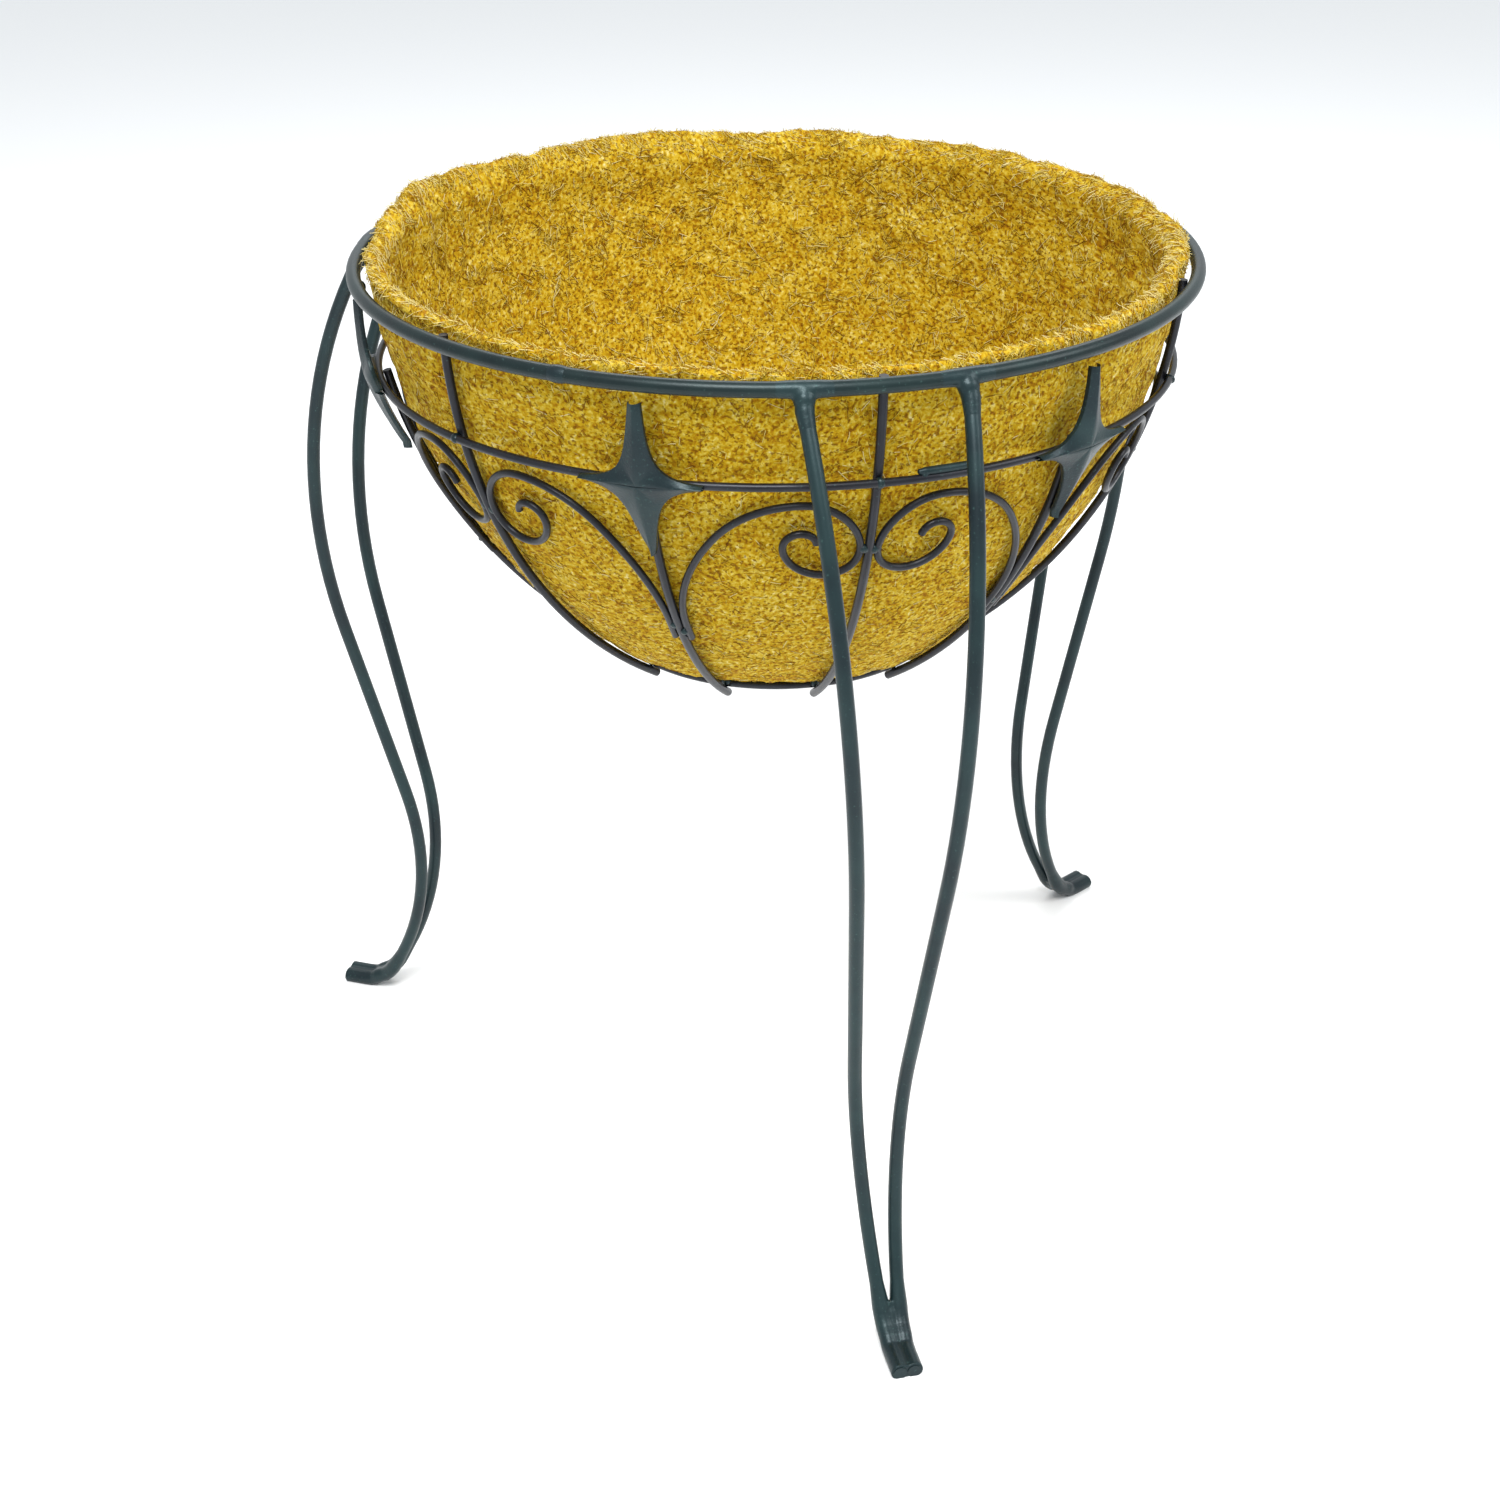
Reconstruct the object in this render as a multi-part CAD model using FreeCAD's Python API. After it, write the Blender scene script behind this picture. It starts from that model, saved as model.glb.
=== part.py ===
"""Free-standing wire planter: a round scrolled basket on three pairs of bent legs, with a coir liner.

Millimetres, +Z up, floor at z = 0. Everything is made round the basket's axis and moved once at the end,
so that the origin is under the middle of the whole stand. Leg 1 points along -Y.
"""
import FreeCAD
import Part
import math
import os

Vector = FreeCAD.Vector
UP = Vector(0, 0, 1)
CENTRE = Vector(0, 0, 0)

# ---- overall sizes ----
rim_outer_diameter = 356.0     # nominal 14 inch basket
rim_height = 408.0             # middle of the rim rod above the floor
basket_depth = 172.0           # middle of the rim rod to the tips of the ribs
rib_tip_radius = 71.0          # from the basket's axis to the tip of a rib

# ---- rods ----
rim_rod = 6.0
leg_rod = 6.0
rib_rod = 3.6
mid_ring_rod = 3.2
base_ring_rod = 3.6
scroll_rod = 3.0
weld_touch = 0.05              # gap left where two rods are tack welded side by side
seam_angle = 90.0              # degrees; keeps the lengthwise seam of a rod's surface away from its cuts

# ---- basket ----
rib_bays = 6                   # plain ribs; a star stands half way between each two
rib_top_lean = 3.0             # degrees that the wall leans in at the rim
rib_stand_up = 2.0             # straight end of a plain rib beside the rim
mid_ring_drop = 39.5           # mid ring below the rim
base_ring_tip = 4.0            # length of rib left beyond the base ring

# ---- stars ----
star_up = 32.0                 # reach above the mid ring
star_down = 33.0               # reach below it
star_side = 24.0               # reach along it, each way
star_thickness = 4.0
star_top_half = 2.4            # half widths of the four blunt points
star_side_half = 0.9
star_bottom_half = 0.9
star_top_root = (4.6, 2.4)     # half widths of the upright and side arms that the upper hollows are drawn to
star_low_root = (6.5, 3.0)     # the same for the lower hollows
star_root_reach = (8.0, 10.0)  # how far up and down the upright arms keep that width

# ---- scrolls, measured on the wall of the basket ----
scroll_top_drop = 50.0         # along the wall, from the rim to the top of the scroll
stem_bend_radius = 85.0        # slow bend of the stem away from the star rib
stem_bend_turn = 40.0          # degrees
stem_straight = 10.0           # length welded beside the star rib
scroll_bends = (20.0, 15.5, 14.0, 8.0, 5.0)   # radii of the quarter turns, from the top inwards
scroll_sample = 4.0            # spacing of the points along a scroll

# ---- legs ----
leg_count = 3
leg_half_spread = 31.0         # from the middle of a leg to each of its rods, at the rim
leg_top_lean = 35.0            # degrees outwards at the rim
knee_radius = 242.0
shin_lean = 13.3               # degrees inwards along the straight shin
ankle_radius = 143.0
ankle_lean = 34.3              # degrees outwards above the toe
toe_radius = 22.0
toe_length = 9.0
toe_flat = 0.5                 # pressed off the underside of each toe

# ---- welds ----
rim_weld_radius = 4.6
rim_weld_drop = 4.5            # along the rod, from the middle of the rim
foot_weld_radius = 4.4
foot_weld_height = 18.0        # above the floor

# ---- liner ----
liner_clearance = 0.6          # to the ribs, the rim and the base ring
liner_thickness = 9.0
liner_front_rise = 4.0         # edge above the middle of the rim, over leg 1
liner_back_rise = 14.0

# ---- worked out from the sizes above ----
rim_radius = (rim_outer_diameter - rim_rod) / 2
rib_top_radius = rim_radius - (rim_rod + rib_rod) / 2 - weld_touch
bay_angle = math.pi / rib_bays             # from a plain rib to the next star
toe_centre_height = leg_rod / 2 - toe_flat
leg_foot_half_spread = leg_rod / 2 + weld_touch
leg_top_out = math.sqrt(rim_radius ** 2 - leg_half_spread ** 2)


class WallArc:
    """Circular arc in the (radius, drop) half plane: drop is measured down from the rim, lean from plumb."""

    def __init__(self, top, bottom, top_lean):
        chord = math.hypot(top[0] - bottom[0], bottom[1] - top[1])
        chord_lean = math.atan2(top[0] - bottom[0], bottom[1] - top[1])
        self.top_lean = top_lean
        self.turn = 2 * (chord_lean - top_lean)
        self.bend = chord / (2 * math.sin(self.turn / 2))
        self.length = self.bend * self.turn
        self.centre = (top[0] - self.bend * math.cos(top_lean), top[1] - self.bend * math.sin(top_lean))

    def at_lean(self, lean, inwards=0.0):
        """Radius and drop where the wall leans this much, moved inwards square to the wall."""
        bend = self.bend - inwards
        return self.centre[0] + bend * math.cos(lean), self.centre[1] + bend * math.sin(lean)

    def lean_along(self, length):
        return self.top_lean + length / self.bend

    def lean_at_drop(self, drop, inwards=0.0):
        return math.asin((drop - self.centre[1]) / (self.bend - inwards))

    def at_drop(self, drop, inwards=0.0):
        return self.at_lean(self.lean_at_drop(drop, inwards), inwards)

    def edge(self, start_lean, end_lean, inwards=0.0):
        """The arc as an edge in the XZ plane."""
        leans = (start_lean, (start_lean + end_lean) / 2, end_lean)
        return Part.Arc(*[section_point(self.at_lean(lean, inwards)) for lean in leans]).toShape()


def section_point(radius_and_drop):
    return Vector(radius_and_drop[0], 0, rim_height - radius_and_drop[1])


def turned(shape, angle):
    """A copy turned round the basket's axis, angle in radians from -Y, anticlockwise seen from above."""
    copy = shape.copy()
    copy.rotate(CENTRE, UP, math.degrees(angle) - 90)
    return copy


def straight(start, end):
    return Part.LineSegment(start, end).toShape()


def rod_along(edges, diameter):
    """A round rod whose middle follows the edges."""
    path = Part.Wire(edges)
    first = path.Edges[0]
    start, tangent = first.valueAt(first.FirstParameter), first.tangentAt(first.FirstParameter)
    circle = Part.Circle(start, tangent, diameter / 2).toShape()
    circle.rotate(start, tangent, seam_angle)
    return path.makePipeShell([Part.Wire(circle)], True, False)


def ring_of_rod(radius, drop, diameter):
    return Part.makeTorus(radius, diameter / 2, Vector(0, 0, rim_height - drop), UP)


def rim_ring():
    return ring_of_rod(rim_radius, 0, rim_rod)


def both_sides(right):
    """A piece and its mirror image across the XZ plane, right one first."""
    return right, right.mirror(CENTRE, Vector(0, 1, 0))


def made_of_bends(start, heading, bends):
    """Edges of straights (length, 0) and arcs (radius, turn) in the XZ plane, and where they end.

    A heading of 0 is straight down and a positive one leans outwards.
    """
    edges = []
    place = start
    for size, turn in bends:
        begin = Vector(math.sin(heading), 0, -math.cos(heading))
        if turn == 0:
            end = place + begin * size
            edges.append(straight(place, end))
        else:
            side = math.copysign(1, turn)
            centre = place + Vector(math.cos(heading), 0, math.sin(heading)) * size * side
            points = [centre - Vector(math.cos(a), 0, math.sin(a)) * size * side
                      for a in (heading + turn / 2, heading + turn)]
            end = points[1]
            edges.append(Part.Arc(place, points[0], end).toShape())
        place = end
        heading += turn
    return edges, place


# ---- the wall that the ribs, the scrolls and the liner share: the middle of the rib rods ----
wall = WallArc((rib_top_radius, 0.0), (rib_tip_radius, basket_depth), math.radians(rib_top_lean))

mid_ring_radius = (wall.at_drop(mid_ring_drop)[0]
                   + ((rib_rod + mid_ring_rod) / 2 + weld_touch) / math.cos(wall.lean_at_drop(mid_ring_drop)))
base_ring_lean = wall.lean_along(wall.length - base_ring_tip)
base_ring_radius, base_ring_drop = wall.at_lean(base_ring_lean, (rib_rod + base_ring_rod) / 2 + weld_touch)


def plain_rib():
    """Bent rod from inside the rim down past the base ring."""
    foot_lean = wall.lean_along(wall.length)
    top = section_point(wall.at_lean(wall.top_lean))
    stand = top + Vector(math.sin(wall.top_lean), 0, math.cos(wall.top_lean)) * rib_stand_up
    return rod_along([straight(stand, top), wall.edge(wall.top_lean, foot_lean)], rib_rod)


def star_rib():
    """Bent rod from the mid ring, behind the star, down past the base ring."""
    top_lean = wall.lean_at_drop(mid_ring_drop - mid_ring_rod / 2)
    return rod_along([wall.edge(top_lean, wall.lean_along(wall.length))], rib_rod)


def star_outline():
    """Closed wire of the star's face in the YZ plane, round the middle of the mid ring."""
    middle = rim_height - mid_ring_drop
    edges = []
    for up, point_half, length, root, reach in (
            (1, star_top_half, star_up, star_top_root, star_root_reach[0]),
            (-1, star_bottom_half, star_down, star_low_root, star_root_reach[1])):
        poles = [(point_half, length), (root[0], reach), (star_side / 4, root[1]), (star_side, star_side_half)]
        for side in (1, -1):
            curve = Part.BezierCurve()
            curve.setPoles([Vector(0, side * across, middle + up * above) for across, above in poles])
            edges.append(curve.toShape())
        edges.append(straight(edges[-2].Vertexes[0].Point, edges[-1].Vertexes[0].Point))
    for side in (1, -1):
        edges.append(straight(Vector(0, side * star_side, middle + star_side_half),
                              Vector(0, side * star_side, middle - star_side_half)))
    return Part.Wire(Part.__sortEdges__(edges))


def star():
    """Four-pointed plate bent to the basket: its back touches the mid ring and, at the tip, the star rib."""
    back_middle = mid_ring_radius + mid_ring_rod / 2 + weld_touch, mid_ring_drop
    tip_drop = mid_ring_drop + star_down
    back_tip = wall.at_drop(tip_drop, -(rib_rod / 2 + weld_touch))
    back = WallArc(back_middle, back_tip, wall.lean_at_drop(mid_ring_drop))
    top_lean = back.lean_at_drop(mid_ring_drop - star_up - star_thickness)
    low_lean = back.lean_at_drop(tip_drop + star_thickness)
    inner = back.edge(top_lean, low_lean)
    outer = back.edge(top_lean, low_lean, -star_thickness)
    ends = [straight(inner.Vertexes[i].Point, outer.Vertexes[i].Point) for i in (0, 1)]
    band = Part.Face(Part.Wire(Part.__sortEdges__([inner, outer] + ends)))
    sweep = math.degrees(math.asin(star_side / mid_ring_radius)) + 2
    band.rotate(CENTRE, UP, -sweep)
    shell = band.revolve(CENTRE, UP, 2 * sweep)
    face = Part.Face(star_outline())
    face.translate(Vector(rim_radius / 2, 0, 0))
    plate = face.extrude(Vector(rim_radius, 0, 0))
    return shell.common(plate).Solids[0]


def scroll_plan():
    """Points (across, along) of the scroll on the unrolled wall, from the stem's weld to the eye."""
    stem_across = (rib_rod + scroll_rod) / 2 + weld_touch
    reach = scroll_reach()
    turn = math.radians(stem_bend_turn)
    top_across = reach - scroll_bends[0]
    upper_radius = (top_across - stem_across - stem_bend_radius * (1 - math.cos(turn))) / math.cos(turn)
    bends = [(stem_bend_radius, turn), (upper_radius, math.pi / 2 - turn)]
    bends += [(radius, math.pi / 2) for radius in scroll_bends]
    rise = stem_bend_radius * math.sin(turn) + upper_radius * (1 - math.sin(turn))
    across, along, heading = stem_across, scroll_top_drop + rise, 0.0
    points = [(across, along + stem_straight), (across, along + stem_straight / 2), (across, along)]
    for radius, bend in bends:
        steps = max(2, round(radius * bend / scroll_sample))
        for step in range(steps):
            chord = 2 * radius * math.sin(bend / steps / 2)
            middle = heading + bend / steps / 2
            across += chord * math.sin(middle)
            along -= chord * math.cos(middle)
            heading += bend / steps
            points.append((across, along))
    return points


def scroll_reach():
    """Distance across the wall at which the second quarter turn touches the next plain rib.

    On the unrolled wall the rib slants towards the scroll as the bowl narrows.
    """
    lean = wall.lean_along(scroll_top_drop + scroll_bends[0])
    slant = math.atan(math.sin(lean) * bay_angle)
    to_rib = scroll_bends[1] + (rib_rod + scroll_rod) / 2 + weld_touch
    return wall.at_lean(lean)[0] * bay_angle + scroll_bends[1] - to_rib / math.cos(slant)


def scroll():
    """Scroll to the right of a star rib, seen from outside, with the star rib in the +X direction."""
    points = []
    for across, along in scroll_plan():
        radius, drop = wall.at_lean(wall.lean_along(along))
        angle = across / radius
        points.append(Vector(radius * math.cos(angle), radius * math.sin(angle), rim_height - drop))
    curve = Part.BSplineCurve()
    curve.interpolate(points)
    return rod_along([curve.toShape()], scroll_rod)


def leg_bends():
    """Straights and arcs of a leg rod in its flat plane, from the rim to the toe, and the plane's tilt."""
    drop = rim_height - toe_centre_height
    tilt = math.atan2(leg_half_spread - leg_foot_half_spread, drop)
    top, shin, ankle, toe = [math.radians(a) for a in (leg_top_lean, -shin_lean, ankle_lean, 90)]
    arcs = [(knee_radius, top, shin), (ankle_radius, shin, ankle), (toe_radius, ankle, toe)]
    arc_height = sum(radius * abs(math.sin(end) - math.sin(start)) for radius, start, end in arcs)
    shin_length = (drop / math.cos(tilt) - arc_height) / math.cos(shin)
    bends = [(radius, end - start) for radius, start, end in arcs]
    bends.insert(1, (shin_length, 0))
    bends.append((toe_length, 0))
    return bends, tilt


def leg_edges():
    """The middle of a leg rod before it is tilted, in the XZ plane, and the middle of the toe's end."""
    bends, tilt = leg_bends()
    top = Vector(leg_top_out, 0, toe_centre_height + (rim_height - toe_centre_height) / math.cos(tilt))
    return made_of_bends(top, math.radians(leg_top_lean), bends)


def leg_rod_right():
    """The +Y rod of the leg that points along +X: saddled to the rim, its toe pressed flat on the floor."""
    edges, toe = leg_edges()
    rod = rod_along(edges, leg_rod)
    rod.rotate(Vector(0, 0, toe_centre_height), Vector(1, 0, 0), -math.degrees(leg_bends()[1]))
    rod.translate(Vector(0, leg_foot_half_spread, 0))
    floor = Part.makeBox(2 * toe.x, toe.x, leg_rod, Vector(0, -toe.x / 2, -leg_rod))
    return rod.cut(rim_ring()).cut(floor).Solids[0]


def rim_weld_right(rod):
    """Bead round the top of the +Y rod, under the rim."""
    lean = math.radians(leg_top_lean)
    place = Vector(leg_top_out + rim_weld_drop * math.sin(lean), leg_half_spread,
                   rim_height - rim_weld_drop * math.cos(lean))
    bead = Part.makeSphere(rim_weld_radius, place).cut(rim_ring()).cut(rod)
    return max(bead.Solids, key=lambda solid: solid.Volume)


def foot_weld(rods):
    """Bead in the fork where the two rods of a leg meet above the toe."""
    ankle = leg_edges()[0][2].Curve
    inwards = math.sqrt(ankle.Radius ** 2 - (foot_weld_height - ankle.Center.z) ** 2)
    place = Vector(ankle.Center.x - inwards, 0, foot_weld_height)
    bead = Part.makeSphere(foot_weld_radius, place).cut(rods[0]).cut(rods[1])
    return max(bead.Solids, key=lambda solid: solid.Volume)


def liner():
    """Thick coir bowl, loose inside the ribs, standing on the base ring; its cut edge rises to the back."""
    outer = rib_rod / 2 + liner_clearance
    floor_drop = base_ring_drop - base_ring_rod / 2 - liner_clearance
    low_lean = wall.lean_at_drop(floor_drop, outer)
    top_lean = wall.top_lean
    rise = liner_back_rise + liner_thickness
    top = section_point(wall.at_lean(top_lean, outer))
    top_end = top + Vector(math.sin(top_lean), 0, math.cos(top_lean)) * rise
    low = section_point(wall.at_lean(low_lean, outer))
    inner = outer + liner_thickness
    inner_low_lean = wall.lean_at_drop(floor_drop - liner_thickness, inner)
    inner_top = section_point(wall.at_lean(top_lean, inner))
    inner_end = inner_top + Vector(math.sin(top_lean), 0, math.cos(top_lean)) * rise
    inner_low = section_point(wall.at_lean(inner_low_lean, inner))
    under, over = Vector(0, 0, low.z), Vector(0, 0, inner_low.z)
    edges = [straight(top_end, top), wall.edge(top_lean, low_lean, outer), straight(low, under),
             straight(under, over), straight(over, inner_low), wall.edge(inner_low_lean, top_lean, inner),
             straight(inner_top, inner_end), straight(inner_end, top_end)]
    bowl = Part.Face(Part.Wire(Part.__sortEdges__(edges))).revolve(CENTRE, UP, 360)
    slope = math.atan2(liner_back_rise - liner_front_rise, 2 * top.x)
    half = 2 * rim_radius
    above = Part.makeBox(2 * half, 2 * half, basket_depth, Vector(-half, -half, 0))
    above.rotate(CENTRE, Vector(1, 0, 0), math.degrees(slope))
    above.translate(Vector(0, 0, rim_height + (liner_back_rise + liner_front_rise) / 2))
    return bowl.cut(above).Solids[0]


def build():
    nodes = {"rim_ring": rim_ring(),
             "mid_ring": ring_of_rod(mid_ring_radius, mid_ring_drop, mid_ring_rod),
             "base_ring": ring_of_rod(base_ring_radius, base_ring_drop, base_ring_rod)}

    scroll_right, scroll_left = both_sides(scroll())
    bay_pieces = {"plain_rib": (plain_rib(), 0), "star_rib": (star_rib(), 1), "star": (star(), 1),
                  "scroll_right": (scroll_right, 1), "scroll_left": (scroll_left, 1)}
    for name, (shape, half_bay) in bay_pieces.items():
        for bay in range(rib_bays):
            nodes[f"{name}_{bay + 1}"] = turned(shape, (2 * bay + half_bay) * bay_angle)

    rods = both_sides(leg_rod_right())
    leg_pieces = {"leg_rod_right": rods[0], "leg_rod_left": rods[1], "foot_weld": foot_weld(rods),
                  "rim_weld": Part.makeCompound(both_sides(rim_weld_right(rods[0])))}
    for name, shape in leg_pieces.items():
        for leg in range(leg_count):
            nodes[f"{name}_{leg + 1}"] = turned(shape, 2 * math.pi * leg / leg_count)

    nodes["coco_liner"] = liner()
    return nodes


def main():
    os.makedirs("parts", exist_ok=True)
    nodes = build()
    toe_out = leg_edges()[1].x
    to_middle = Vector(0, (toe_out - rim_outer_diameter / 2) / 2, 0)
    for name, shape in nodes.items():
        shape.translate(to_middle)
        shape.exportStep(f"parts/{name}.step")
    print("nodes", len(nodes), "toe", round(toe_out, 3), "axis at y", round(to_middle.y, 3))
    print("mid ring radius", round(mid_ring_radius, 2), "base ring radius", round(base_ring_radius, 2),
          "drop", round(base_ring_drop, 2), "wall bend", round(wall.bend, 2))
    print("not valid:", [name for name, shape in nodes.items() if not shape.isValid() or not shape.Solids])


main()
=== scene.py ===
# %% [markdown]
# # A wire planter with a coir liner
#
# The real thing is a basket of painted steel rod on three legs, lined with a bowl of matted
# coconut fibre. The rods, rings, scrolls and legs arrive from the CAD model at their true size
# and only need a finish. Four things are made here, because they are looks and not structure:
# the cast stars with their ridges, the welds with their soft fillets, the fibrous liner and the
# setting. We start by loading the frame and keeping its box, to compare sizes at the end.

import math

import bmesh
import bpy
import numpy as np
from mathutils import Matrix, Vector, noise
from mathutils.bvhtree import BVHTree


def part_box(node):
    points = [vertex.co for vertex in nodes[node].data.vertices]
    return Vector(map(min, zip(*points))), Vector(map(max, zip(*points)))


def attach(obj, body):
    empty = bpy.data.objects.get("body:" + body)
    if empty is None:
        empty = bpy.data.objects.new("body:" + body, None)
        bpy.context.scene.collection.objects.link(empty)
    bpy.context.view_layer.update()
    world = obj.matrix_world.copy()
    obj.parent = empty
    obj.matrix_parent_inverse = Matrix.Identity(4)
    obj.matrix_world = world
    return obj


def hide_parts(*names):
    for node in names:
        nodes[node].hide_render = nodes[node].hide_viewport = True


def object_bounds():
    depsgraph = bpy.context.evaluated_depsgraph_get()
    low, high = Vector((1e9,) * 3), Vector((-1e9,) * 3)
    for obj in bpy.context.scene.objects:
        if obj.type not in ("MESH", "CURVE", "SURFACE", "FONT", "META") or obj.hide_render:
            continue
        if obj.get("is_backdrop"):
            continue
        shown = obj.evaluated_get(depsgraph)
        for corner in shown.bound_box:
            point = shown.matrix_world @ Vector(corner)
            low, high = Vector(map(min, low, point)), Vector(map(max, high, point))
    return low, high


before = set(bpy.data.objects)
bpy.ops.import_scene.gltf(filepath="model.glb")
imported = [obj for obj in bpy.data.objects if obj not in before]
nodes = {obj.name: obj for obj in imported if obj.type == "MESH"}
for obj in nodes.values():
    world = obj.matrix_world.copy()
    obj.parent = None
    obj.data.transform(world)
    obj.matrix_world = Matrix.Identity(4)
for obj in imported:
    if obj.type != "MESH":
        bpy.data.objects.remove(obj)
cad_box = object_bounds()
print("CAD box, mm:", [round(1000 * (high - low), 1) for low, high in zip(*cad_box)])

# %% [markdown]
# ## Reading sizes from the frame
#
# Every size below comes from the loaded nodes, so the looks follow the construction when it
# changes. A ring's box gives its rod (the box's height), its radius and its middle. The basket
# hangs round one upright axis, and places on it are given by a bearing: 0 is the front, and it
# grows anticlockwise seen from above.

# %% Rings, axis and bearings
def ring_size(node):
    """A ring's middle, centre line radius and rod diameter, from its box."""
    low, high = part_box(node)
    rod = high.z - low.z
    return (low + high) / 2, (high.x - low.x - rod) / 2, rod


RIM, RIM_RADIUS, RIM_ROD = ring_size("rim_ring")
MID, MID_RADIUS, MID_ROD = ring_size("mid_ring")
BASE, BASE_RADIUS, _ = ring_size("base_ring")
AXIS = Vector((RIM.x, RIM.y, 0))
RIB_ROD = 2 * (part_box("plain_rib_1")[1].x - RIM.x)
BAYS = sum(name.startswith("star_rib_") for name in nodes)
LEGS = sum(name.startswith("foot_weld_") for name in nodes)
MM = 0.001


def outward(bearing):
    """The level direction away from the axis at a bearing in degrees."""
    turn = math.radians(bearing)
    return Vector((math.sin(turn), -math.cos(turn), 0))


def on_wall(bearing, radius, height):
    """A point of the basket, from its bearing, its distance from the axis and its height."""
    return AXIS + outward(bearing) * radius + Vector((0, 0, height))


print("rim radius", round(RIM_RADIUS, 4), "rim height", round(RIM.z, 4), "rib rod", round(RIB_ROD, 4))

# %% [markdown]
# ## The camera
#
# A long-ish lens looks down on the planter from the front, a little to one side. The camera
# stands on a sphere round the rim's middle, and then turns down to take in the feet. It is made
# first, because everything else is judged through it.

# %% Place the camera
CAMERA_BEARING = -13.09
CAMERA_ABOVE = math.radians(15.67)
CAMERA_DISTANCE = 0.976
CAMERA_PAN = math.radians(0.68)
CAMERA_TILT = math.radians(-12.35)
CAMERA_ROLL = math.radians(-0.3)
CAMERA_LENS = 54.56


def place_camera():
    back = outward(CAMERA_BEARING) * math.cos(CAMERA_ABOVE) + Vector((0, 0, math.sin(CAMERA_ABOVE)))
    ahead = -back
    right = ahead.cross(Vector((0, 0, 1))).normalized()
    up = right.cross(ahead)
    pan = Matrix.Rotation(CAMERA_PAN, 3, up)
    ahead, right = pan @ ahead, pan @ right
    tilt = Matrix.Rotation(CAMERA_TILT, 3, right)
    ahead, up = tilt @ ahead, tilt @ up
    roll = Matrix.Rotation(-CAMERA_ROLL, 3, ahead)
    right, up = roll @ right, roll @ up
    camera = bpy.data.objects.new("camera", bpy.data.cameras.new("camera"))
    bpy.context.scene.collection.objects.link(camera)
    axes = Matrix((right, up, -ahead)).transposed()
    camera.matrix_world = Matrix.Translation(RIM + back * CAMERA_DISTANCE) @ axes.to_4x4()
    camera.data.sensor_width = 36
    camera.data.lens = CAMERA_LENS
    camera.data.clip_start = 0.01
    return camera


bpy.context.scene.camera = place_camera()
bpy.context.scene.view_settings.view_transform = "Standard"
print("camera at", [round(v, 3) for v in bpy.context.scene.camera.location])

# %% [markdown]
# ## Writing materials as expressions
#
# A procedural material is a small graph, and graphs are tedious to wire by hand. The `Value`
# class wraps one output socket, so that `1 - mask * 0.4` adds the two Math nodes it describes.
# `Finish` owns a material: its `node` method adds any node from its type, its settings and its
# inputs, and `mix` blends two colours. Numbers that don't vary go straight on the shader.

# %% A wrapper for shader maths
class Value:
    """An output socket that can be used in arithmetic."""

    def __init__(self, finish, socket):
        self.finish = finish
        self.socket = socket

    def maths(self, operation, first, second):
        return self.finish.node("ShaderNodeMath", {"operation": operation}, {0: first, 1: second})

    def __add__(self, other):
        return self.maths("ADD", self, other)

    def __sub__(self, other):
        return self.maths("SUBTRACT", self, other)

    def __mul__(self, other):
        return self.maths("MULTIPLY", self, other)

    def __radd__(self, other):
        return self.maths("ADD", other, self)

    def __rsub__(self, other):
        return self.maths("SUBTRACT", other, self)

    def __rmul__(self, other):
        return self.maths("MULTIPLY", other, self)

    def steps(self, *stops):
        """A ramp over this value; each stop is a position and a colour."""
        return self.finish.node("ShaderNodeValToRGB", {"stops": stops}, {0: self})

    def between(self, low, high):
        """0 below low and 1 above high, straight in between."""
        return self.finish.node("ShaderNodeMapRange", {}, {0: self, 1: low, 2: high})


class Finish:
    """A material, with one Principled shader and the nodes that feed it."""

    def __init__(self, name, **constants):
        self.material = bpy.data.materials.new(name)
        self.material.use_nodes = True
        self.tree = self.material.node_tree
        self.shader = self.tree.nodes["Principled BSDF"]
        for socket, value in constants.items():
            self.shader.inputs[socket.replace("_", " ")].default_value = value
        self.place = self.node("ShaderNodeTexCoord", {}, {}, "Object")

    def node(self, kind, settings, inputs, output=0):
        made = self.tree.nodes.new(kind)
        for name, value in settings.items():
            if name == "stops":
                self.set_stops(made.color_ramp, value)
            else:
                setattr(made, name, value)
        for key, value in inputs.items():
            if isinstance(value, Value):
                self.tree.links.new(value.socket, made.inputs[key])
            else:
                made.inputs[key].default_value = value
        return Value(self, made.outputs[output])

    def set_stops(self, ramp, stops):
        while len(ramp.elements) < len(stops):
            ramp.elements.new(1)
        for element, (position, shade) in zip(ramp.elements, stops):
            element.position = position
            element.color = shade

    def noise(self, scale, detail=2, place=None):
        """Noise over the object; scale is in cells per metre."""
        return self.node("ShaderNodeTexNoise", {},
                         {"Vector": place or self.place, "Scale": scale, "Detail": detail})

    def stretched(self, direction, turns):
        """Object coordinates squeezed along one direction, for marks that run that way."""
        return self.node("ShaderNodeMapping", {},
                         {"Vector": self.place, "Scale": direction, "Rotation": turns})

    def mix(self, factor, first, second):
        return self.node("ShaderNodeMix", {"data_type": "RGBA"}, {0: factor, 6: first, 7: second}, 2)

    def bump(self, height, strength, distance):
        return self.node("ShaderNodeBump", {},
                         {"Height": height, "Strength": strength, "Distance": distance})

    def set(self, socket, value):
        self.tree.links.new(value.socket, self.shader.inputs[socket])


def colour(red, green, blue):
    """A colour from its screen values, 0 to 255, as the linear values that Blender mixes."""
    shares = [value / 255 for value in (red, green, blue)]
    return (*[((v + 0.055) / 1.055) ** 2.4 if v > 0.04 else v / 12.92 for v in shares], 1)


print("materials are written with", Value.__name__, "and", Finish.__name__)

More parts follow.
